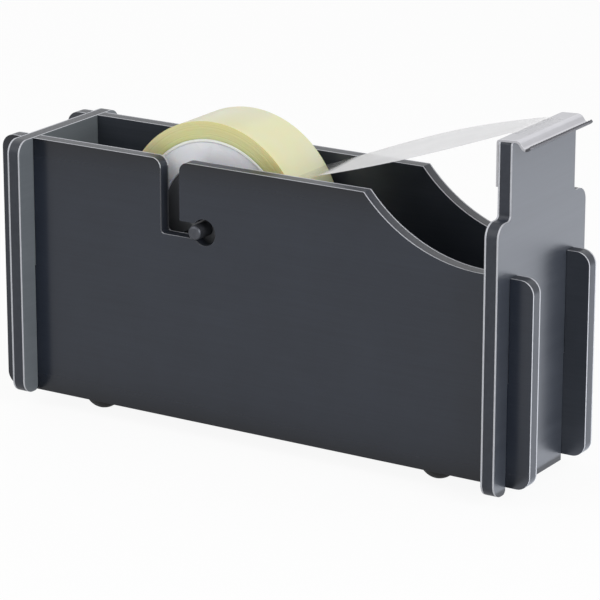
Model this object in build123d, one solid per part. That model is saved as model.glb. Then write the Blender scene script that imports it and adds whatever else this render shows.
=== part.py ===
"""Desk tape dispenser made of four interlocking composite panels.

Frame: +Z up, floor at Z = 0, +X from the rear panel to the cutter, origin under the
middle of the outer box. The side panels stand at -Y (right) and +Y (left).
"""
from build123d import *
import math
import os

# ---- composite sheet -------------------------------------------------------
sheet = 3.0                  # whole panel
skin = 0.4                   # aluminium skin on each face of the black core
lap_clearance = 0.1          # each side of a half-lap slot

# ---- casing ----------------------------------------------------------------
inner_length = 108.2         # between the rear and the front panel
side_gap = 19.8              # between the two side panels
ear_reach = 4.7              # rear and front panel, beyond the side panels
rear_tab = 4.7               # side panels, beyond the rear panel
front_tab = 5.1              # side panels, beyond the front panel
side_height = 54.1           # and the rear panel's
shoulder_height = 53.2
tab_height = 41.9            # front tabs, and the low end of the scoop
neck_width = 25.5
neck_height = 68.3
front_drop = 1.3             # the front panel hangs this much below the others
corner_radius = 2.8          # tabs and ears
ear_mouth_radius = 1.0       # ear's corner at the mouth of its half-lap slot
shoulder_radius = 1.0        # inner corner where the neck meets the shoulder
neck_radius = 0.7
scoop_radius = 34.5          # hollow in the top edge, towards the cutter
scoop_flat = 3.0             # level stretch between the hollow and the front panel

# ---- axle slot, a J open at the top ----------------------------------------
channel_from_rear = 33.75    # rear panel's inner face to the channel's middle
channel_width = 4.6
channel_mouth = 2.0          # rounded mouth
channel_corner = 0.8
passage_floor = 38.65        # level way from the channel to the pocket
passage_height = 3.3
pocket_from_channel = 8.1
pocket_radius = 2.75

# ---- axle, hub and roll ----------------------------------------------------
axle_diameter = 3.0
axle_seat_gap = 0.1          # axle above the passage floor
axle_from_channel = 6.5      # where the axle stands at rest
axle_proud = 1.3             # beyond each side panel
axle_chamfer = 0.35
running_fit = 0.05           # radial, hub on axle
washer_fit = 0.02            # radial, washer on axle
washer_diameter = 7.0
washer_thickness = 1.0
washer_play = 0.3            # washer to side panel
boss_play = 0.15             # washer to hub boss
boss_diameter = 6.8
hub_wall = 1.2
hub_web = 1.4
hub_recess = 1.0             # web below the core's end face
hub_fit = 0.05               # radial, hub in the core
hub_holes = 5
hub_hole_diameter = 4.2
tape_width = 14.4
core_bore = 25.5
core_wall = 5.0
core_lip = 0.6               # outer rim left by the shallow recess in each end
core_recess = 0.25
winding_depth = 3.65         # wound tape, core to outside

# ---- cutter ----------------------------------------------------------------
cutter_sheet = 0.4
cutter_leg = 9.4             # leg down the back of the neck
cutter_bond = 0.15           # adhesive film behind the leg
cutter_inset = 0.2           # neck edge to cutter edge
cutter_crown = 0.4           # rise of the top towards the front
cutter_bend = 0.8            # bend radius, outer side
trough_depth = 1.8           # below the crown
trough_reach = 2.8           # beyond the panel's front face
lip_reach = 4.3
lip_rise = 1.35
tooth_pitch = 1.0
tooth_depth = 0.6

# ---- tape strand -----------------------------------------------------------
strand_thickness = 0.2
strand_clearance = 0.3       # to the roll, which turns
strand_lift = 0.06           # over the cutter
peel_angle = 33.0            # degrees above level, seen from the axle
strand_bow = 0.7             # rise of the free span above a straight line
strand_end = 0.4             # end of the strand beyond the panel's front face

# ---- base ------------------------------------------------------------------
base_thickness = 3.0
bond_gap = 0.05              # glue line round the base plate
ballast_length = 84.0
ballast_width = 17.0
ballast_height = 8.0
ballast_chamfer = 0.6
foot_diameter = 7.6
foot_height = 3.5
foot_dome = 2.3              # height of the rounded underside
foot_pad = 3.0               # flat it stands on
foot_inset = 0.4             # foot to side panel
foot_from_rear = 11.8        # rear panel's inner face to the foot's middle
foot_from_front = 15.7

# ---- worked out ------------------------------------------------------------
middle_x = (rear_tab - front_tab) / 2
rear_in = middle_x - inner_length / 2
front_in = middle_x + inner_length / 2
rear_out = rear_in - sheet
front_out = front_in + sheet
side_in = side_gap / 2
side_out = side_in + sheet
ear_end = side_out + ear_reach
channel_x = rear_in + channel_from_rear
pocket_x = channel_x + pocket_from_channel
axle_radius = axle_diameter / 2
axle_x = channel_x + axle_from_channel
axle_z = foot_height + passage_floor + axle_seat_gap + axle_radius
core_radius = core_bore / 2 + core_wall
roll_radius = core_radius + winding_depth
rear_lap = side_height / 2
front_lap = tab_height / 2
neck_top = foot_height + neck_height
leg_x = front_in - cutter_bond - cutter_sheet
cutter_top = neck_top + cutter_sheet
crown_top = cutter_top + cutter_crown
cutter_width = neck_width - 2 * cutter_inset


def block(low_u, low_v, high_u, high_v):
    """Rectangle between two corners of a flat profile."""
    size_u, size_v = high_u - low_u, high_v - low_v
    return Pos(low_u + size_u / 2, low_v + size_v / 2) * Rectangle(size_u, size_v)


def rounded(profile, corners, radius):
    """Fillet the profile's corners that lie at the given points."""
    chosen = [v for v in profile.vertices()
              if any(abs(v.X - u) < 1e-3 and abs(v.Y - w) < 1e-3 for u, w in corners)]
    return fillet(chosen, radius)


# ---- side panels -----------------------------------------------------------
def axle_slot():
    """The J: a channel down from the top edge, a level passage and a round pocket."""
    half = channel_width / 2
    channel = block(channel_x - half, passage_floor, channel_x + half, side_height)
    channel = rounded(channel, [(channel_x - half, passage_floor)], channel_corner)
    passage = block(channel_x, passage_floor, pocket_x, passage_floor + passage_height)
    pocket = Pos(pocket_x, passage_floor + passage_height / 2) * Circle(pocket_radius)
    return channel + passage + pocket


def side_profile():
    """Outline of a side panel: length along u, height along v."""
    low, high = rear_out - rear_tab, front_out + front_tab
    scoop_x = front_in - scoop_flat
    profile = block(low, 0, high, side_height)
    profile -= block(scoop_x, tab_height, high, side_height)
    profile -= Pos(scoop_x, tab_height + scoop_radius) * Circle(scoop_radius)
    profile = rounded(profile, [(low, 0), (low, side_height), (high, 0), (high, tab_height)],
                      corner_radius)
    profile -= axle_slot()
    half = channel_width / 2
    profile = rounded(profile, [(channel_x - half, side_height), (channel_x + half, side_height)],
                      channel_mouth)
    rear_slot = block(rear_out - lap_clearance, rear_lap, rear_in + lap_clearance, side_height)
    front_slot = block(front_in - lap_clearance, front_lap, front_out + lap_clearance, side_height)
    return profile - rear_slot - front_slot


# ---- rear and front panels -------------------------------------------------
def slotted(profile, low, high):
    """Cut the slots, open at the bottom, that drop over the two side panels."""
    mouth = side_out + lap_clearance
    profile -= block(-mouth, low, -side_in + lap_clearance, high)
    profile -= block(side_in - lap_clearance, low, mouth, high)
    return rounded(profile, [(-mouth, low), (mouth, low)], ear_mouth_radius)


def rear_profile():
    """Outline of the rear panel: width along u, height along v."""
    profile = block(-ear_end, 0, ear_end, side_height)
    corners = [(u, v) for u in (-ear_end, ear_end) for v in (0, side_height)]
    return slotted(rounded(profile, corners, corner_radius), 0, rear_lap)


def front_profile():
    """Outline of the front panel, with shoulders and the neck for the cutter."""
    half = neck_width / 2
    profile = block(-ear_end, -front_drop, ear_end, shoulder_height)
    profile += block(-half, shoulder_height - sheet, half, neck_height)
    outer = [(u, v) for u in (-ear_end, ear_end) for v in (-front_drop, shoulder_height)]
    profile = rounded(profile, outer, corner_radius)
    profile = rounded(profile, [(-half, shoulder_height), (half, shoulder_height)], shoulder_radius)
    profile = rounded(profile, [(-half, neck_height), (half, neck_height)], neck_radius)
    return slotted(profile, -front_drop, front_lap)


def laminate(profile, start, outward, plane_at):
    """Inner skin, core and outer skin of one panel, from its inner face outwards."""
    layers = {}
    depth = 0.0
    for layer, thickness in (("inner_skin", skin), ("core", sheet - 2 * skin), ("outer_skin", skin)):
        low = min(start + outward * depth, start + outward * (depth + thickness))
        layers[layer] = extrude(plane_at(low) * profile, thickness)
        depth += thickness
    return layers


def along_y(low):
    """Plane of a side profile, whose solid grows towards +Y; its u runs towards -X."""
    return Plane(origin=(0, low, foot_height), x_dir=(-1, 0, 0), z_dir=(0, 1, 0))


def along_x(low):
    """Plane of an end profile, whose solid grows towards +X."""
    return Plane(origin=(low, 0, foot_height), x_dir=(0, 1, 0), z_dir=(1, 0, 0))


def panels():
    """All twelve layers of the four panels, by node name."""
    side = mirror(side_profile(), about=Plane.YZ)
    nodes = {}
    for name, profile, start, outward, plane_at in (
            ("right_side", side, -side_in, -1, along_y),
            ("left_side", side, side_in, 1, along_y),
            ("rear_panel", rear_profile(), rear_in, -1, along_x),
            ("front_panel", front_profile(), front_in, 1, along_x)):
        for layer, solid in laminate(profile, start, outward, plane_at).items():
            nodes[f"{name}_{layer}"] = solid
    return nodes


# ---- base ------------------------------------------------------------------
def base_plate():
    """Plate glued between the four panels, level with the side panels' lower edges."""
    plate = Box(inner_length - 2 * bond_gap, side_gap - 2 * bond_gap, base_thickness)
    return Pos(middle_x, 0, foot_height + base_thickness / 2) * plate


def ballast_bar():
    """Steel bar that keeps the light casing on the desk."""
    bar = Box(ballast_length, ballast_width, ballast_height)
    bar = chamfer(bar.edges().filter_by(Axis.X) + bar.edges().filter_by(Axis.Y), ballast_chamfer)
    return Pos(middle_x, 0, foot_height + base_thickness + ballast_height / 2) * bar


def foot(x, y):
    """Domed rubber foot under the base plate, with a small flat to stand on."""
    radius, pad = foot_diameter / 2, foot_pad / 2
    dome_radius = (radius ** 2 + foot_dome ** 2) / (2 * foot_dome)
    outline = Polyline((pad, 0), (0, 0), (0, foot_height), (radius, foot_height), (radius, foot_dome))
    outline += RadiusArc((radius, foot_dome), (pad, 0), dome_radius)
    return Pos(x, y, 0) * revolve(Plane.XZ * make_face(outline), Axis.Z)


def feet():
    """The four feet, by node name."""
    nodes = {}
    foot_y = side_in - foot_inset - foot_diameter / 2
    for end, x in (("rear", rear_in + foot_from_rear), ("front", front_in - foot_from_front)):
        for hand, y in (("right", -foot_y), ("left", foot_y)):
            nodes[f"{end}_{hand}_foot"] = foot(x, y)
    return nodes


# ---- axle and roll, built along Z and laid along Y -------------------------
def on_axle(shape, hand=1):
    """Lay a shape on the axle line, its +Z towards +Y or, for hand -1, towards -Y."""
    return Pos(axle_x, 0, axle_z) * Rot(-90 * hand, 0, 0) * shape


def tube(outer, inner, low, high):
    """Ring between two heights."""
    ring = Cylinder(outer, high - low) - Cylinder(inner, high - low)
    return Pos(0, 0, (low + high) / 2) * ring


def axle_rod():
    """Plain rod that lies in both slots."""
    rod = Cylinder(axle_radius, 2 * (side_out + axle_proud))
    return on_axle(chamfer(rod.edges().filter_by(GeomType.CIRCLE), axle_chamfer))


def axle_washer(hand):
    """Washer pressed on the axle; it is wider than the slot and centres the roll."""
    outer = side_in - washer_play
    ring = tube(washer_diameter / 2, axle_radius + washer_fit, outer - washer_thickness, outer)
    return on_axle(ring, hand)


def hub_half(hand):
    """Moulded half hub: rim in the core, pierced web and bored boss."""
    rim_radius = core_bore / 2 - hub_fit
    web_high = tape_width / 2 - hub_recess
    web_low = web_high - hub_web
    boss_end = side_in - washer_play - washer_thickness - boss_play
    bore = axle_radius + running_fit
    half = tube(rim_radius, rim_radius - hub_wall, 0, web_high)
    half += tube(rim_radius, bore, web_low, web_high)
    half += tube(boss_diameter / 2, bore, 0, boss_end)
    circle = (boss_diameter / 2 + rim_radius - hub_wall) / 2
    hole = Pos(0, 0, web_high - hub_web / 2) * Cylinder(hub_hole_diameter / 2, 2 * hub_web)
    half -= PolarLocations(circle, hub_holes) * hole
    return on_axle(half, hand)


def tape_core():
    """Moulded tape core with a shallow recess in each end, inside its outer rim."""
    outer, inner, half = core_radius, core_bore / 2, tape_width / 2
    core = tube(outer, inner, -half, half)
    for low in (-half, half - core_recess):
        core -= tube(outer - core_lip, inner, low, low + core_recess)
    return on_axle(core)


def tape_winding():
    """The wound tape as one ring."""
    return on_axle(tube(roll_radius, core_radius, -tape_width / 2, tape_width / 2))


# ---- cutter ----------------------------------------------------------------
def across(outline, width):
    """Extrude an outline in X and Z over a width centred on Y = 0."""
    plane = Plane(origin=(0, width / 2, 0), x_dir=(1, 0, 0), z_dir=(0, -1, 0))
    return extrude(plane * make_face(outline), width)


def cutter_blade():
    """Bent steel strip: leg, top, trough and toothed lip."""
    trough_z = crown_top - trough_depth
    tip_x, tip_z = front_out + lip_reach, trough_z + lip_rise
    upper = FilletPolyline((leg_x, cutter_top - cutter_leg), (leg_x, cutter_top),
                           (front_out + cutter_bend, crown_top),
                           (front_out + trough_reach, trough_z), (tip_x, tip_z),
                           radius=cutter_bend)
    blade = across(offset(upper, cutter_sheet, side=Side.RIGHT, kind=Kind.INTERSECTION), cutter_width)
    half = tooth_pitch / 2
    notch = extrude(Polygon((0, -half), (0, half), (-tooth_depth, 0), align=None), lip_rise, both=True)
    count = int(cutter_width / tooth_pitch)
    for index in range(count):
        y = (index - (count - 1) / 2) * tooth_pitch
        blade -= Pos(tip_x + cutter_sheet, y, tip_z) * notch
    return blade


def cutter_film():
    """Adhesive film between the leg and the neck."""
    height = cutter_leg - cutter_sheet - cutter_bend
    film = Box(cutter_bond, cutter_width, height)
    return Pos(front_in - cutter_bond / 2, 0, neck_top - cutter_bend - height / 2) * film


# ---- tape strand -----------------------------------------------------------
def tape_strand():
    """Free tape from the roll's peel line up to the top of the cutter."""
    angle = math.radians(peel_angle)
    reach = roll_radius + strand_clearance + strand_thickness
    start = (axle_x + reach * math.cos(angle), axle_z + reach * math.sin(angle))
    edge = (leg_x, cutter_top + strand_lift)
    middle = ((start[0] + edge[0]) / 2, (start[1] + edge[1]) / 2 + strand_bow)
    end = (front_out + strand_end, crown_top + strand_lift)
    lower = ThreePointArc(start, middle, edge) + Line(edge, end)
    return across(offset(lower, strand_thickness, side=Side.LEFT, kind=Kind.INTERSECTION), tape_width)


def main():
    """Write every node."""
    os.makedirs("parts", exist_ok=True)
    nodes = panels() | feet()
    nodes["base_plate"] = base_plate()
    nodes["ballast_bar"] = ballast_bar()
    nodes["axle_rod"] = axle_rod()
    for name, hand in (("right", -1), ("left", 1)):
        nodes[f"{name}_axle_washer"] = axle_washer(hand)
        nodes[f"{name}_hub_half"] = hub_half(hand)
    nodes["tape_core"] = tape_core()
    nodes["tape_winding"] = tape_winding()
    nodes["cutter_blade"] = cutter_blade()
    nodes["cutter_film"] = cutter_film()
    nodes["tape_strand"] = tape_strand()
    for name, shape in nodes.items():
        shape.label = name
        export_step(shape, f"parts/{name}.step")


main()
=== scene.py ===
import bmesh
import bpy
import math
import random
from mathutils import Matrix, Vector


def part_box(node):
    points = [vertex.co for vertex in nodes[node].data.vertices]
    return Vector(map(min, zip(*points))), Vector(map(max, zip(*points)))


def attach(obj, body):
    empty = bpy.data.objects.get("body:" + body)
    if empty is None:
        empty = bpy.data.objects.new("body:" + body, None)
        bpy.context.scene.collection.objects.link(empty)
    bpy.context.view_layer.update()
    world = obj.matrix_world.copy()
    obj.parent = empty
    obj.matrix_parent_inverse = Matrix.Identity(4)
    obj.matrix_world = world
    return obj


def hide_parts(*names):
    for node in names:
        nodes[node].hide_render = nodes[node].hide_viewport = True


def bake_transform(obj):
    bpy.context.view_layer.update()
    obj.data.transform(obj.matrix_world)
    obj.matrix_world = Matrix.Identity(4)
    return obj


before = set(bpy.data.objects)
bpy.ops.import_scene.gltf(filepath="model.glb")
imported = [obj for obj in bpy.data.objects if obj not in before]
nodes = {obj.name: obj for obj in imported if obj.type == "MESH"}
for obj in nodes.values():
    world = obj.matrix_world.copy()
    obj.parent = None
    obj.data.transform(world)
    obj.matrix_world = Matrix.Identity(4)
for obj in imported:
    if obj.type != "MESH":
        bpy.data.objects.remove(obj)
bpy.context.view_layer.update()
mm = 0.001


def axleCentre():
    low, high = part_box("axle_rod")
    return (low + high) / 2


# shader maths

class Wire:
    # an output socket that takes Python arithmetic
    def __init__(self, finish, socket):
        self.finish = finish
        self.socket = socket

    def math(self, operation, first, second=None):
        values = {0: first}
        if second is not None:
            values[1] = second
        return self.finish.node("ShaderNodeMath", {"operation": operation}, values)

    def __add__(self, other):
        return self.math("ADD", self, other)

    def __radd__(self, other):
        return self.math("ADD", other, self)

    def __sub__(self, other):
        return self.math("SUBTRACT", self, other)

    def __rsub__(self, other):
        return self.math("SUBTRACT", other, self)

    def __mul__(self, other):
        return self.math("MULTIPLY", self, other)

    def __rmul__(self, other):
        return self.math("MULTIPLY", other, self)

    def __truediv__(self, other):
        return self.math("DIVIDE", self, other)

    def __rtruediv__(self, other):
        return self.math("DIVIDE", other, self)

    def __pow__(self, other):
        return self.math("POWER", self, other)

    def __rpow__(self, other):
        return self.math("POWER", other, self)

    def absolute(self):
        return self.math("ABSOLUTE", self)

    def above(self, other):
        return self.math("GREATER_THAN", self, other)


class Finish:
    # one material, or the world, and the few ways its nodes are made
    def __init__(self, name, owner=None):
        self.owner = owner or bpy.data.materials.new(name)
        self.owner.use_nodes = True
        self.tree = self.owner.node_tree
        self.tree.nodes.clear()

    def node(self, kind, settings=None, values=None, output=0):
        made = self.tree.nodes.new(kind)
        for key, value in (settings or {}).items():
            setattr(made, key, value)
        for key, value in (values or {}).items():
            if isinstance(value, Wire):
                self.tree.links.new(value.socket, made.inputs[key])
            else:
                made.inputs[key].default_value = value
        return Wire(self, made.outputs[output]) if made.outputs else None

    def place(self, scale=(1, 1, 1), centre=(0, 0, 0)):
        point = self.node("ShaderNodeTexCoord", output="Object")
        moved = self.node("ShaderNodeVectorMath", {"operation": "SUBTRACT"}, {0: point, 1: centre})
        return self.node("ShaderNodeMapping", None, {"Vector": moved, "Scale": scale})

    def noise(self, vector, detail=2.0, rough=0.5, scale=1.0):
        return self.node("ShaderNodeTexNoise", None,
                         {"Vector": vector, "Scale": scale, "Detail": detail, "Roughness": rough})

    def grain(self, scale, detail=2.0, rough=0.5):
        # noise whose three numbers say how many times it changes in a metre each way
        return self.noise(self.place(scale), detail, rough)

    def blendColour(self, amount, low, high):
        return self.node("ShaderNodeMix", {"data_type": "RGBA"},
                         {0: amount, 6: paint(low), 7: paint(high)}, output=2)

    def bump(self, height, distance, strength):
        return self.node("ShaderNodeBump", None,
                         {"Height": height, "Distance": distance, "Strength": strength})

    def surface(self, **values):
        # socket names in camelCase; specular is short for Specular IOR Level
        named = {"Specular IOR Level" if key == "specular" else
                 key[0].upper() + "".join(" " + c if c.isupper() else c for c in key[1:]): value
                 for key, value in values.items()}
        self.show(self.node("ShaderNodeBsdfPrincipled", None, named))
        return self.owner

    def show(self, shader, outlet="ShaderNodeOutputMaterial"):
        self.node(outlet, None, {"Surface": shader})


def paint(colour):
    if isinstance(colour, Wire):
        return colour
    return (*colour, 1)


# finishes

def lacqueredSkin(name, along, look):
    # dark grey lacquer over an aluminium skin, brushed one way
    finish = Finish(name)
    stretch = {"X": (40, 2400, 2400), "Y": (2400, 40, 2400)}[along]
    brushed = finish.grain(stretch, 3.0, 0.6)
    streaks = finish.grain([side / 3 for side in stretch])
    clouds = finish.grain((70, 70, 70), 3.0, 0.6)
    tone = brushed * 0.7 + streaks * look["streaks"] + clouds * 0.8 - (0.25 + look["streaks"] / 2)
    colour = finish.blendColour(tone, look["dark"], look["light"])
    if "paintedEdgeShade" in look:  # painted shade: darker towards the lower and upper edges
        low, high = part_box("right_side_outer_skin")
        height = finish.node("ShaderNodeSeparateXYZ", None, {0: finish.place(centre=(low + high) / 2)}, "Z")
        shadeNearEdge = (height.absolute() / ((high.z - low.z) / 2)) ** look["edgeFall"]
        colour = finish.blendColour(shadeNearEdge * look["paintedEdgeShade"], colour, look["edge"])
    return finish.surface(
        baseColor=colour,
        roughness=brushed * 0.10 + clouds * 0.08 + (look["gloss"] - 0.09),
        specular=look["specular"],
        normal=finish.bump(brushed, 0.000004, 0.35))


def cutAluminium(name, look):
    # edge of the skins, with fine marks from the router
    finish = Finish(name)
    marks = finish.grain((2500, 2500, 900), 2.0, 0.6)
    return finish.surface(
        baseColor=finish.blendColour(marks, look["dark"], look["light"]),
        metallic=0.25,
        roughness=marks * 0.16 + 0.38,
        specular=0.3,
        normal=finish.bump(marks, 0.000006, 0.5))


def corePlastic(name, look):
    # black polyethylene between the skins, milled at its edges
    finish = Finish(name)
    marks = finish.grain((1800, 1800, 1100), 3.0, 0.6)
    clouds = finish.grain((220, 220, 220), 3.0, 0.6)
    return finish.surface(
        baseColor=finish.blendColour(marks * 0.8 + clouds * 0.6 - 0.2, look["dark"], look["light"]),
        roughness=marks * 0.16 + 0.28,
        specular=0.35,
        normal=finish.bump(marks, 0.00001, 0.5))


def brushedSteel(name, look):
    # cutter strip, brushed along its width
    finish = Finish(name)
    lines = finish.grain((4000, 90, 4000), 3.0, 0.6)
    clouds = finish.grain((140, 140, 140))
    return finish.surface(
        baseColor=finish.blendColour(lines * 0.5 + clouds * 0.5, look["dark"], look["light"]),
        metallic=1.0,
        roughness=lines * 0.12 + look["gloss"],
        normal=finish.bump(lines, 0.000005, 0.4))


def blackSteel(name, look):
    # darkened turned steel
    finish = Finish(name)
    marks = finish.grain((900, 200, 900), 3.0, 0.6)
    return finish.surface(
        baseColor=finish.blendColour(marks, look["dark"], look["light"]),
        metallic=look["metal"],
        roughness=marks * 0.15 + look["gloss"],
        normal=finish.bump(marks, 0.00001, 0.4))


def mouldedPlastic(name, look):
    # smooth injection moulding with a slight orange peel
    finish = Finish(name)
    peel = finish.grain((700, 700, 700))
    clouds = finish.grain((90, 90, 90), 3.0)
    return finish.surface(
        baseColor=finish.blendColour(clouds, look["dark"], look["light"]),
        roughness=peel * 0.10 + look["gloss"],
        normal=finish.bump(peel, 0.00001, 0.3))


def rubber(name, look):
    # matt black foot rubber
    finish = Finish(name)
    grain = finish.grain((2200, 2200, 2200), 3.0, 0.6)
    return finish.surface(
        baseColor=finish.blendColour(grain, look["dark"], look["light"]),
        roughness=grain * 0.2 + 0.42,
        normal=finish.bump(grain, 0.00002, 0.5))


def rollPlace(finish):
    # distance from the axle line and along it
    point = finish.place(centre=tuple(axleCentre()))
    parts = [finish.node("ShaderNodeSeparateXYZ", None, {0: point}, axis) for axis in "XYZ"]
    return (parts[0] * parts[0] + parts[2] * parts[2]) ** 0.5, parts[1]


def woundTape(name, look):
    # many layers of clear film: pale on the outside, deeper yellow and finely ringed on the ends
    finish = Finish(name)
    radius, along = rollPlace(finish)
    ringed = finish.node("ShaderNodeCombineXYZ", None, {"X": radius})
    rings = finish.noise(ringed, 2.0, 0.6, 1 / look["pitch"])
    clouds = finish.grain((90, 70, 90), 3.0)
    atEnd = along.absolute().above(look["endFrom"])
    depth = rings * 0.10 + clouds * 1.1 + atEnd * 0.30 - 0.29
    return finish.surface(
        baseColor=finish.blendColour(depth, look["pale"], look["deep"]),
        roughness=rings * 0.12 + 0.22,
        normal=finish.bump(rings, 0.00001, 0.3),
        subsurfaceWeight=0.35,
        subsurfaceScale=0.003,
        coatWeight=0.35,
        coatRoughness=0.2)


def coreMoulding(name, look):
    # smooth lilac-white moulding; the rim against the tape is a warmer white
    finish = Finish(name)
    radius = rollPlace(finish)[0]
    clouds = finish.grain((110, 110, 110))
    face = finish.blendColour(clouds, look["dark"], look["light"])
    return finish.surface(
        baseColor=finish.blendColour(radius.above(look["rimFrom"]), face, look["rim"]),
        roughness=clouds * 0.10 + 0.22,
        normal=finish.bump(clouds, 0.00003, 0.3),
        subsurfaceWeight=0.15,
        subsurfaceScale=0.002)


def freeTape(name, look):
    # one layer of milky film, clear where it has just left the roll and where it is pressed on the cutter
    finish = Finish(name)
    along = finish.node("ShaderNodeSeparateXYZ", None, {0: finish.place()}, "X")

    def rises(start, width):
        # 0 before start, 1 a width later
        return finish.node("ShaderNodeMath", {"operation": "MULTIPLY_ADD", "use_clamp": True},
                           {0: along, 1: 1 / width, 2: -start / width})

    pressed = rises(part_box("cutter_blade")[0].x - 0.3 * look["pressedWithin"], look["pressedWithin"])
    loose = rises(axleCentre().x + look["looseFrom"], look["looseWithin"])
    clouds = finish.grain((90, 160, 90), 3.0)
    milky = clouds * look["mottle"] + (look["cover"] - look["mottle"] / 2)
    return finish.surface(
        baseColor=finish.blendColour(clouds, look["dark"], look["light"]),
        roughness=clouds * 0.1 + 0.25,
        alpha=milky * (1 - pressed * look["clears"]) * (1 - look["clears"] + loose * look["clears"]),
        normal=finish.bump(clouds, 0.00002, 0.2))


finishes = {
    # sideSkin's edge colour is painted shade, darkening the side lacquer towards its lower and upper edges
    "sideSkin": lacqueredSkin("sideSkin", "X", {
        "dark": (0.010, 0.014, 0.024), "light": (0.018, 0.024, 0.038), "gloss": 0.22, "streaks": 0.2,
        "specular": 0.48, "edge": (0.002, 0.003, 0.006), "paintedEdgeShade": 0.9, "edgeFall": 7}),
    # the side lacquer made lighter for the inner faces of the shaded well: painted fill light
    "wellSkin": lacqueredSkin("wellSkin", "X", {
        "dark": (0.020, 0.025, 0.033), "light": (0.038, 0.043, 0.056), "gloss": 0.34, "streaks": 0.2,
        "specular": 0.5}),
    # the same lacquer made lighter on the front panel, whose face turns to the key lamp: painted light
    "frontSkin": lacqueredSkin("frontSkin", "Y", {
        "dark": (0.022, 0.027, 0.038), "light": (0.046, 0.053, 0.068), "gloss": 0.32, "streaks": 0.8,
        "specular": 1.0}),
    # the same lacquer made far lighter on the rear panel, so its faces turned to the right read as lit:
    # painted light
    "rearSkin": lacqueredSkin("rearSkin", "Y", {
        "dark": (0.110, 0.124, 0.138), "light": (0.146, 0.162, 0.178), "gloss": 0.34, "streaks": 0.3,
        "specular": 0.5}),
    "cutEdge": cutAluminium("cutAluminium", {"dark": (0.38, 0.39, 0.42), "light": (0.56, 0.57, 0.61)}),
    # the cut edge made darker for the walls inside the axle slot: painted shade in the slot
    "slotEdgePaintedShade": cutAluminium("slotAluminiumPaintedShade", {"dark": (0.10, 0.105, 0.115), "light": (0.17, 0.175, 0.19)}),
    "core": corePlastic("corePlastic", {"dark": (0.015, 0.018, 0.026), "light": (0.034, 0.039, 0.052)}),
    "steel": brushedSteel("brushedSteel", {
        "dark": (0.36, 0.36, 0.385), "light": (0.60, 0.60, 0.63), "gloss": 0.26}),
    # the toothed lip past the trough: the same steel made dark, painted shade for its shaded outer face
    "lip": brushedSteel("lipPaintedShade", {
        "dark": (0.06, 0.06, 0.068), "light": (0.13, 0.13, 0.14), "gloss": 0.34}),
    "axle": blackSteel("axleSteel", {
        "dark": (0.045, 0.048, 0.058), "light": (0.10, 0.105, 0.12), "metal": 0.7, "gloss": 0.34}),
    "ballast": blackSteel("ballastSteel", {
        "dark": (0.05, 0.05, 0.052), "light": (0.10, 0.10, 0.105), "metal": 0.8, "gloss": 0.40}),
    "washer": mouldedPlastic("washerPlastic", {
        "dark": (0.10, 0.105, 0.115), "light": (0.14, 0.145, 0.155), "gloss": 0.30}),
    "hub": mouldedPlastic("hubPlastic", {
        "dark": (0.10, 0.105, 0.115), "light": (0.14, 0.145, 0.155), "gloss": 0.34}),
    "tapeCore": coreMoulding("coreMoulding", {
        "dark": (0.82, 0.83, 0.88), "light": (0.93, 0.935, 0.96), "rim": (0.96, 0.95, 0.89),
        "rimFrom": 0.01715}),
    "film": mouldedPlastic("bondFilm", {
        "dark": (0.40, 0.38, 0.32), "light": (0.50, 0.48, 0.40), "gloss": 0.40}),
    "rubber": rubber("rubber", {"dark": (0.012, 0.012, 0.013), "light": (0.030, 0.030, 0.032)}),
    "woundTape": woundTape("woundTape", {
        "pale": (0.66, 0.655, 0.47), "deep": (0.67, 0.645, 0.24), "pitch": 0.0003, "endFrom": 0.0070}),
    "freeTape": freeTape("freeTape", {
        "dark": (0.84, 0.84, 0.86), "light": (0.92, 0.92, 0.93), "cover": 0.64, "mottle": 0.10,
        "clears": 0.9, "pressedWithin": 0.003, "looseFrom": 0.0240, "looseWithin": 0.003}),
}
print("finishes made:", len(finishes))


# making pieces

def pieceFrom(shape, name, materials, sharpFrom=35, isSheet=False):
    # a finished bmesh becomes an object with soft shading and crisp corners;
    # an open sheet's faces keep the side that they were given
    if not isSheet:
        bmesh.ops.recalc_face_normals(shape, faces=shape.faces)
    for face in shape.faces:
        face.smooth = True
    for edge in shape.edges:
        edge.smooth = len(edge.link_faces) == 2 and edge.calc_face_angle(0) < math.radians(sharpFrom)
    mesh = bpy.data.meshes.new(name)
    shape.to_mesh(mesh)
    shape.free()
    for key in materials:
        mesh.materials.append(finishes[key])
    piece = bpy.data.objects.new(name, mesh)
    bpy.context.scene.collection.objects.link(piece)
    weighted = piece.modifiers.new("weightedNormals", "WEIGHTED_NORMAL")
    weighted.keep_sharp = True
    return piece


def seated(piece, body, nodeName):
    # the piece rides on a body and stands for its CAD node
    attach(piece, body)
    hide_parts(nodeName)
    return piece


def cleanCopy(nodeName):
    # the CAD node's mesh, merged, with its flat faces whole again
    shape = bmesh.new()
    shape.from_mesh(nodes[nodeName].data)
    bmesh.ops.remove_doubles(shape, verts=shape.verts, dist=0.001 * mm)
    bmesh.ops.dissolve_limit(shape, angle_limit=math.radians(0.3), verts=shape.verts,
                             edges=shape.edges, use_dissolve_boundaries=False)
    return shape


def eased(shape, width, segments=2, fromAngle=35):
    # takes the sharpness off every hard corner
    hard = [e for e in shape.edges
            if len(e.link_faces) == 2 and e.calc_face_angle(0) > math.radians(fromAngle)]
    bmesh.ops.bevel(shape, geom=hard, offset=width, offset_type="OFFSET", segments=segments,
                    profile=0.5, affect="EDGES", clamp_overlap=True, material=-1)
    return shape


def camelName(nodeName):
    first, *rest = nodeName.split("_")
    return first + "".join(word.capitalize() for word in rest)


# the four composite panels

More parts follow.
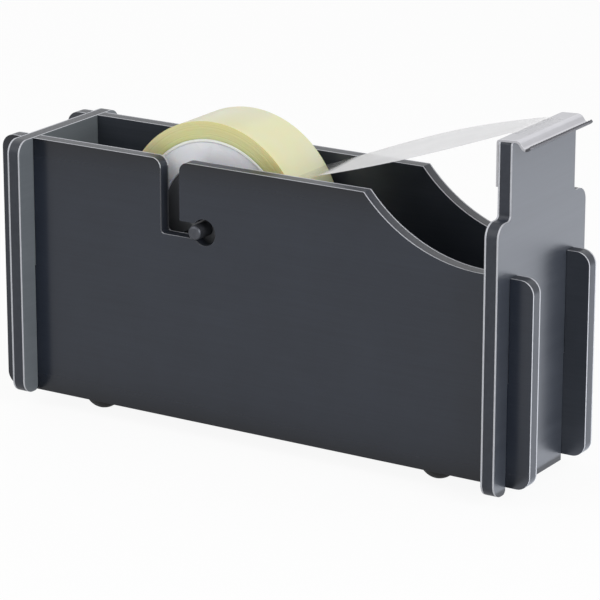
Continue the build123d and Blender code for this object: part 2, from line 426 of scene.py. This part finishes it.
panelLook = {"skinEase": 0.05 * mm, "coreEase": 0.08 * mm,
             "slotBehind": 9.5, "slotAhead": 4.5, "slotBelow": 4.5, "ledgeEnd": 2.0, "mouth": 2.5}
panelAxes = {"right_side": 1, "left_side": 1, "rear_panel": 0, "front_panel": 0}
panelSkins = {("right_side", "outer_skin"): "sideSkin", ("right_side", "inner_skin"): "wellSkin",
              ("left_side", "outer_skin"): "sideSkin", ("left_side", "inner_skin"): "wellSkin",
              ("rear_panel", "outer_skin"): "rearSkin", ("rear_panel", "inner_skin"): "rearSkin",
              ("front_panel", "outer_skin"): "frontSkin", ("front_panel", "inner_skin"): "frontSkin"}


def inSlot(face, top):
    # the walls of the axle's slot and pocket, below the rounded mouth, get the darker cut edge as painted
    # shade; the ledge keeps the bright colour of other edges
    place = face.calc_center_median()
    fromAxle = (place - axleCentre()) / mm
    isAlong = -panelLook["slotBehind"] < fromAxle.x < panelLook["slotAhead"]
    isBetween = fromAxle.z > -panelLook["slotBelow"] and place.z < top - panelLook["mouth"] * mm
    isLedge = face.normal.z > 0.6 and fromAxle.x < -panelLook["ledgeEnd"]
    return isAlong and isBetween and not isLedge


def panelLayer(panel, layer):
    nodeName = f"{panel}_{layer}"
    isCore = layer == "core"
    shape = eased(cleanCopy(nodeName), panelLook["coreEase" if isCore else "skinEase"])
    if isCore:
        materials = ["core"]
    else:
        materials = [panelSkins[panel, layer], "cutEdge", "slotEdgePaintedShade"]
        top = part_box(nodeName)[1].z
        shape.normal_update()
        for face in shape.faces:
            if abs(face.normal[panelAxes[panel]]) > 0.9:
                face.material_index = 0
            else:
                # index 2, the darker edge inside the slot, is painted shade
                face.material_index = 2 if inSlot(face, top) else 1
    piece = pieceFrom(shape, camelName(nodeName), materials)
    return seated(piece, "frame", nodeName)


for panel in panelAxes:
    for layer in ("inner_skin", "core", "outer_skin"):
        panelLayer(panel, layer)
print("panels made")


# base, ballast and feet

baseLook = {"plateEase": 0.1 * mm, "barEase": 0.2 * mm}
basePiece = pieceFrom(eased(cleanCopy("base_plate"), baseLook["plateEase"]), "basePlate", ["core"])
seated(basePiece, "frame", "base_plate")
barPiece = pieceFrom(eased(cleanCopy("ballast_bar"), baseLook["barEase"]), "ballastBar", ["ballast"])
seated(barPiece, "frame", "ballast_bar")


def turned(outline, centre, axis, across, steps):
    # a closed outline of (radius, along) points, spun a full turn about the axis
    shape = bmesh.new()
    dots = [shape.verts.new(centre + across * radius + axis * along) for radius, along in outline]
    for one, two in zip(dots, dots[1:] + dots[:1]):
        shape.edges.new((one, two))
    bmesh.ops.spin(shape, geom=shape.verts[:] + shape.edges[:], cent=centre, axis=axis,
                   dvec=(0, 0, 0), angle=2 * math.pi, steps=steps, use_merge=True, use_duplicate=False)
    bmesh.ops.remove_doubles(shape, verts=shape.verts, dist=0.0005 * mm)
    return shape


footLook = {"pad": 1.5, "dome": 2.3, "domeSteps": 8, "groove": 0.15, "grooveAt": (0.35, 0.45, 0.6, 0.7),
            "topEase": 0.05, "pole": 0.001, "steps": 64}


def footOutline(radius, height):
    # pad, domed underside, a thin moulded groove and the flat top, in millimetres
    pad, dome, groove, pole, ease = (footLook[key] for key in ("pad", "dome", "groove", "pole", "topEase"))
    domeRadius = (radius ** 2 + dome ** 2) / (2 * dome)
    points = [(pole, 0), (pad * 0.9, 0)]
    for step in range(footLook["domeSteps"] + 1):
        out = pad + (radius - pad) * math.sin(step / footLook["domeSteps"] * math.pi / 2)
        rise = domeRadius - math.sqrt(domeRadius ** 2 - out ** 2)
        flat = domeRadius - math.sqrt(domeRadius ** 2 - pad ** 2)
        points.append((out, (rise - flat) * dome / (dome - flat)))
    points += [(radius - inset, dome + rise)
               for inset, rise in zip((0, groove, groove, 0), footLook["grooveAt"])]
    return points + [(radius, height - ease), (radius - ease, height), (pole, height)]


for end in ("rear", "front"):
    for hand in ("left", "right"):
        nodeName = f"{end}_{hand}_foot"
        low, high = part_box(nodeName)
        middle = (low + high) / 2
        outline = [(r * mm, z * mm) for r, z in footOutline((high.x - low.x) / 2 / mm, (high.z - low.z) / mm)]
        shape = turned(outline, Vector((middle.x, middle.y, low.z)), Vector((0, 0, 1)), Vector((1, 0, 0)),
                       footLook["steps"])
        seated(pieceFrom(shape, camelName(nodeName), ["rubber"]), "frame", nodeName)
print("base made")


# axle, washers and hub

wheelLook = {"rodEase": 0.55 * mm, "rodSteps": 5, "washerEase": 0.12 * mm, "hubEase": 0.2 * mm}
rodShape = eased(cleanCopy("axle_rod"), wheelLook["rodEase"], wheelLook["rodSteps"])
seated(pieceFrom(rodShape, "axleRod", ["axle"]), "axle", "axle_rod")
for hand in ("left", "right"):
    washerNode = f"{hand}_axle_washer"
    shape = eased(cleanCopy(washerNode), wheelLook["washerEase"])
    seated(pieceFrom(shape, camelName(washerNode), ["washer"]), "axle", washerNode)
    hubNode = f"{hand}_hub_half"
    shape = eased(cleanCopy(hubNode), wheelLook["hubEase"])
    seated(pieceFrom(shape, camelName(hubNode), ["hub"]), "roll", hubNode)
print("hub made")


# tape core and wound tape

rollLook = {"coreBore": 12.75, "coreRadius": 17.75, "rollRadius": 21.4, "half": 7.2, "coreClear": 0.02,
            "lip": 0.6, "recess": 0.25, "ease": 0.12, "layers": 22, "layerGap": 0.02, "ripple": 0.02,
            "steps": 160}


def rollPiece(points, name, material, nodeName):
    outline = [(radius * mm, along * mm) for radius, along in points]
    shape = turned(outline, axleCentre(), Vector((0, 1, 0)), Vector((1, 0, 0)), rollLook["steps"])
    return seated(pieceFrom(shape, name, [material]), "roll", nodeName)


def coreEnd(side):
    # one end of the core from bore to outside: a shallow recess inside the outer rim
    bore, half, lip, recess, ease = (rollLook[key] for key in ("coreBore", "half", "lip", "recess", "ease"))
    outside = rollLook["coreRadius"] - rollLook["coreClear"]
    points = [(bore, half - recess - ease), (bore + ease, half - recess),
              (outside - lip - ease, half - recess), (outside - lip, half - recess + ease),
              (outside - lip, half - ease), (outside - lip + ease, half), (outside - ease, half),
              (outside, half - ease)]
    return [(radius, side * along) for radius, along in points]


rollPiece(coreEnd(1) + coreEnd(-1)[::-1], "tapeCore", "tapeCore", "tape_core")


def windingEnd(side, dice):
    # the wound edges stand a hair in and out of line
    inside, outside = rollLook["coreRadius"], rollLook["rollRadius"]
    pitch, gap = (outside - inside) / rollLook["layers"], rollLook["layerGap"]
    points = []
    for layer in range(rollLook["layers"]):
        depth = rollLook["half"] - dice.random() * rollLook["ripple"]
        radius = inside + layer * pitch
        points += [(radius + gap, side * depth), (radius + pitch - gap, side * depth)]
    return points


dice = random.Random(7)
rollPiece(windingEnd(1, dice) + windingEnd(-1, dice)[::-1], "tapeWinding", "woundTape",
          "tape_winding")
print("roll made")


# cutter

cutterLook = {"sheet": 0.5, "bend": 0.7, "troughBend": 0.9, "bendSteps": 6, "crownDrop": 0.3,
              "crownRise": 0.25, "crownOut": 1.2, "troughOut": 2.55, "troughDrop": 1.85, "lipOut": 3.6,
              "lipRise": 1.15, "pitch": 1.0, "toothDepth": 0.4, "ease": 0.05}


def standsAt(vert, x, z):
    return abs(vert.co.x - x) < 1e-7 and abs(vert.co.z - z) < 1e-7


def cutter():
    low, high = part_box("cutter_blade")
    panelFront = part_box("front_panel_outer_skin")[1].x
    crownZ = high.z - cutterLook["crownDrop"] * mm
    troughX = panelFront + cutterLook["troughOut"] * mm
    troughZ = crownZ - cutterLook["troughDrop"] * mm
    tip = (panelFront + cutterLook["lipOut"] * mm, troughZ + cutterLook["lipRise"] * mm)
    points = [(low.x, low.z), (low.x, crownZ - cutterLook["crownRise"] * mm),
              (panelFront + cutterLook["crownOut"] * mm, crownZ), (troughX, troughZ), tip]
    shape = bmesh.new()
    dots = [shape.verts.new((x, low.y, z)) for x, z in points]
    line = [shape.edges.new(pair) for pair in zip(dots, dots[1:])]
    swept = bmesh.ops.extrude_edge_only(shape, edges=line)["geom"]
    bmesh.ops.translate(shape, vec=(0, high.y - low.y, 0),
                        verts=[v for v in swept if isinstance(v, bmesh.types.BMVert)])
    bmesh.ops.reverse_faces(shape, faces=shape.faces)  # the sheet is thickened inwards from its upper side
    bends = [e for e in shape.edges if len(e.link_faces) == 2]
    trough = [e for e in bends if all(standsAt(v, troughX, troughZ) for v in e.verts)]
    others = [e for e in bends if e not in trough]
    for edges, offset in ((trough, "troughBend"), (others, "bend")):
        bmesh.ops.bevel(shape, geom=edges, offset=cutterLook[offset] * mm, offset_type="OFFSET",
                        segments=cutterLook["bendSteps"], profile=0.5, affect="EDGES", material=-1)
    edgeLine = [e for e in shape.edges if all(standsAt(v, *tip) for v in e.verts)]
    count = int((high.y - low.y) / mm / cutterLook["pitch"])
    bmesh.ops.subdivide_edges(shape, edges=edgeLine, cuts=2 * count - 1)
    lipDown = Vector((troughX - tip[0], 0, troughZ - tip[1])).normalized()
    rim = sorted((v for v in shape.verts if standsAt(v, *tip)), key=lambda v: v.co.y)
    for vert in rim[::2]:
        vert.co += lipDown * cutterLook["toothDepth"] * mm
    shape.normal_update()
    for face in shape.faces:
        # faces past the trough take the dark lip steel: painted shade
        face.material_index = 1 if face.calc_center_median().x > troughX else 0
    piece = pieceFrom(shape, "cutterBlade", ["steel", "lip"], 40, isSheet=True)
    wall = piece.modifiers.new("sheet", "SOLIDIFY")
    wall.thickness = cutterLook["sheet"] * mm
    wall.offset = -1
    ease = piece.modifiers.new("ease", "BEVEL")
    ease.width = cutterLook["ease"] * mm
    ease.segments = 2
    ease.limit_method = "ANGLE"
    piece.modifiers.move(0, 2)
    return seated(piece, "frame", "cutter_blade")


cutter()
filmPiece = pieceFrom(cleanCopy("cutter_film"), "cutterFilm", ["film"])
seated(filmPiece, "frame", "cutter_film")
print("cutter made")


# free tape

# the near side sags and the far one bows up
strandLook = {"thick": 0.04, "stations": 32, "across": 8, "nearSag": 0.75, "farRise": 1.35, "skew": 1.25,
              "peel": 33.5, "reach": 21.52, "lift": 0.05, "onBlade": 0.06}


def strand():
    low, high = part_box("tape_strand")
    centre = axleCentre()
    angle = math.radians(strandLook["peel"])
    start = centre + Vector((math.cos(angle), 0, math.sin(angle))) * strandLook["reach"] * mm
    bladeLow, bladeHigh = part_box("cutter_blade")
    crownTop = bladeHigh.z - cutterLook["crownDrop"] * mm
    edge = Vector((bladeLow.x, 0, crownTop - (cutterLook["crownRise"] - strandLook["lift"]) * mm))
    crown = Vector((high.x, 0, crownTop + strandLook["lift"] * mm))
    shape = bmesh.new()
    bmesh.ops.create_grid(shape, x_segments=strandLook["stations"], y_segments=strandLook["across"], size=0.5)
    for vert in shape.verts:
        along = (vert.co.x + 0.5) * (1 + strandLook["onBlade"])
        side = vert.co.y + 0.5
        if along < 1:
            middle = start.lerp(edge, along)
            sag = -strandLook["nearSag"] * math.sin(math.pi * along)
            rise = strandLook["farRise"] * math.sin(math.pi * along ** strandLook["skew"])
            middle.z += (sag * (1 - side) + rise * side) * mm
        else:
            middle = edge.lerp(crown, (along - 1) / strandLook["onBlade"])
        vert.co = Vector((middle.x, low.y + (high.y - low.y) * side, middle.z))
    piece = pieceFrom(shape, "tapeStrand", ["freeTape"], isSheet=True)
    wall = piece.modifiers.new("film", "SOLIDIFY")
    wall.thickness = strandLook["thick"] * mm
    wall.offset = 0
    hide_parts("tape_strand")
    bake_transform(piece)
    return piece


strand()
print("free tape made")


# floor, light and camera

studioLook = {"worldLevel": 0.47, "floorHalf": 3.0, "floorColour": 0.9, "seenShare": 0.92,
              "mirroredShare": 0.25}
lampLook = {
    "key": {"turn": -16, "rise": 26, "distance": 0.8, "wide": 0.42, "tall": 0.42, "radiance": 7.4},
    "frontFill": {"turn": -120, "rise": 35, "distance": 0.9, "wide": 0.7, "tall": 0.7, "radiance": 1.3},
    "backTop": {"turn": 90, "rise": 34, "distance": 0.7, "wide": 0.5, "tall": 0.5, "radiance": 0.35,
                "lights": False},
    "table": {"turn": 55, "rise": 1, "distance": 0.17, "wide": 0.22, "tall": 0.34, "radiance": 1.15,
              "colour": (0.82, 0.88, 1.0), "lights": False, "aim": (0.07, 0, 0), "shines": (0, 0, 1)},
    "leftFill": {"turn": 165, "rise": 35, "distance": 0.8, "wide": 0.6, "tall": 0.6, "radiance": 0.9},
}


def rayKinds(finish):
    kinds = ("Camera", "Glossy", "Transmission")
    return [finish.node("ShaderNodeLightPath", output=f"Is {kind} Ray") for kind in kinds]


def floorMaterial():
    # pale floor: white where it is seen or mirrored, still keeping the shadow
    finish = Finish("floor")
    seen, mirrored, through = rayKinds(finish)
    white = finish.node("ShaderNodeEmission", None, {"Color": (1, 1, 1, 1), "Strength": 1.0})
    plain = finish.node("ShaderNodeBsdfDiffuse", None, {"Color": (*[studioLook["floorColour"]] * 3, 1)})
    share = (seen + through) * studioLook["seenShare"] + mirrored * studioLook["mirroredShare"]
    finish.show(finish.node("ShaderNodeMixShader", None, {0: share, 1: plain, 2: white}))
    return finish.owner


def studioFloor():
    shape = bmesh.new()
    bmesh.ops.create_grid(shape, x_segments=1, y_segments=1, size=studioLook["floorHalf"])
    mesh = bpy.data.meshes.new("floor")
    shape.to_mesh(mesh)
    shape.free()
    mesh.materials.append(floorMaterial())
    floor = bpy.data.objects.new("floor", mesh)
    bpy.context.scene.collection.objects.link(floor)


def studioWorld(level):
    # white where it is seen, mirrored or seen through; a plain even level on the object
    world = bpy.data.worlds.new("studio")
    bpy.context.scene.world = world
    finish = Finish("studio", world)
    seen, mirrored, through = rayKinds(finish)
    dim = finish.node("ShaderNodeBackground", None, {"Color": (1, 1, 1, 1), "Strength": level})
    white = finish.node("ShaderNodeBackground", None, {"Color": (1, 1, 1, 1), "Strength": 1.0})
    finish.show(finish.node("ShaderNodeMixShader", None, {0: seen + mirrored + through, 1: dim, 2: white}),
                "ShaderNodeOutputWorld")


def softbox(name, look):
    # a rectangle lamp: turn from +X towards +Y, height angle, distance, sides and radiance; it shines at its
    # aim unless it is told where, and one that doesn't light is only mirrored
    turn, rise = math.radians(look["turn"]), math.radians(look["rise"])
    toward = Vector((math.cos(rise) * math.cos(turn), math.cos(rise) * math.sin(turn), math.sin(rise)))
    lamp = bpy.data.lights.new(name, "AREA")
    lamp.shape = "RECTANGLE"
    lamp.size = look["wide"]
    lamp.size_y = look["tall"]
    lamp.energy = look["radiance"] * look["wide"] * look["tall"] * math.pi
    lamp.color = look.get("colour", (1, 1, 1))
    holder = bpy.data.objects.new(name, lamp)
    aim = Vector(look.get("aim", (0, 0, 0.035)))
    holder.location = aim + toward * look["distance"]
    holder.rotation_euler = Vector(look.get("shines", -toward)).to_track_quat("-Z", "Y").to_euler()
    holder.visible_diffuse = look.get("lights", True)
    holder.visible_camera = False
    bpy.context.scene.collection.objects.link(holder)
    return holder


studioFloor()
studioWorld(studioLook["worldLevel"])
for lampName, look in lampLook.items():
    softbox(lampName, look)

cameraLook = {"turn": 32.086, "tilt": 17.104, "roll": 0.040, "distance": 0.680109, "lens": 202.660,
              "sensor": 36, "clipStart": 0.05, "aim": (0.002259, 0, 0.029018),
              "shift": (-0.000970, -0.001141)}


def camera():
    turn, tilt, roll = (math.radians(cameraLook[key]) for key in ("turn", "tilt", "roll"))
    forward = Vector((-math.sin(turn) * math.cos(tilt), math.cos(turn) * math.cos(tilt), -math.sin(tilt)))
    right = Vector((math.cos(turn), math.sin(turn), 0))
    up = right.cross(forward)
    rolledRight = right * math.cos(roll) + up * math.sin(roll)
    rolledUp = up * math.cos(roll) - right * math.sin(roll)
    data = bpy.data.cameras.new("camera")
    data.lens = cameraLook["lens"]
    data.sensor_width = cameraLook["sensor"]
    data.shift_x, data.shift_y = cameraLook["shift"]
    data.clip_start = cameraLook["clipStart"]
    holder = bpy.data.objects.new("camera", data)
    place = Vector(cameraLook["aim"]) - forward * cameraLook["distance"]
    facing = Matrix((rolledRight, rolledUp, -forward)).transposed().to_4x4()
    holder.matrix_world = Matrix.Translation(place) @ facing
    bpy.context.scene.collection.objects.link(holder)
    bpy.context.scene.camera = holder


camera()
bpy.context.scene.view_settings.view_transform = "Standard"
print("studio made")
